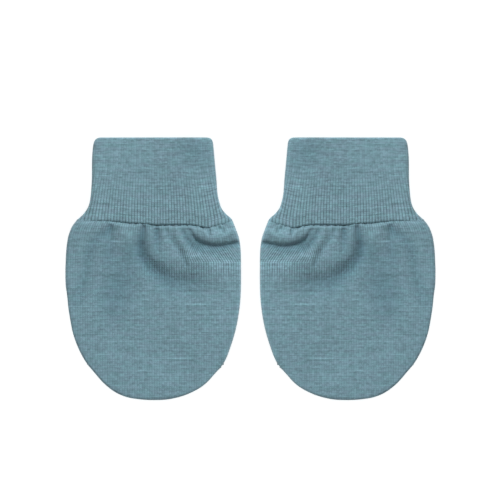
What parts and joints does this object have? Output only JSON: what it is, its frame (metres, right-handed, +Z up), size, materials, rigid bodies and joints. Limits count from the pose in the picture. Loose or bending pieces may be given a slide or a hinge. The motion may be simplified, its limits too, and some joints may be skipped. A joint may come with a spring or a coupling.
{
  "type": "pair of baby mittens",
  "caption": "Newborn mittens in fine jersey, laid flat side by side, each with a rounded hand and a folded wrist cuff.",
  "frame": {"origin": "on the surface that the mittens lie on, at the middle of the pair's bounding box", "axes": "+X across the pair to the right, +Y from the fingertips to the cuff openings, +Z up from the surface"},
  "size_m": [0.1686, 0.1196, 0.0058],
  "materials": {
    "hand_front_jersey": "matt fine jersey in a heathered grey blue, with lighter slubs",
    "hand_back_jersey": "matt fine jersey in a heathered grey blue, with lighter slubs",
    "cuff_jersey": "matt fine jersey in a heathered grey blue, its columns stretched open near the seam"
  },
  "bodies": {
    "root": {"left_hand_front": "hand_front_jersey", "left_hand_back": "hand_back_jersey", "left_cuff": "cuff_jersey", "right_hand_front": "hand_front_jersey", "right_hand_back": "hand_back_jersey", "right_cuff": "cuff_jersey"}
  },
  "joints": []
}
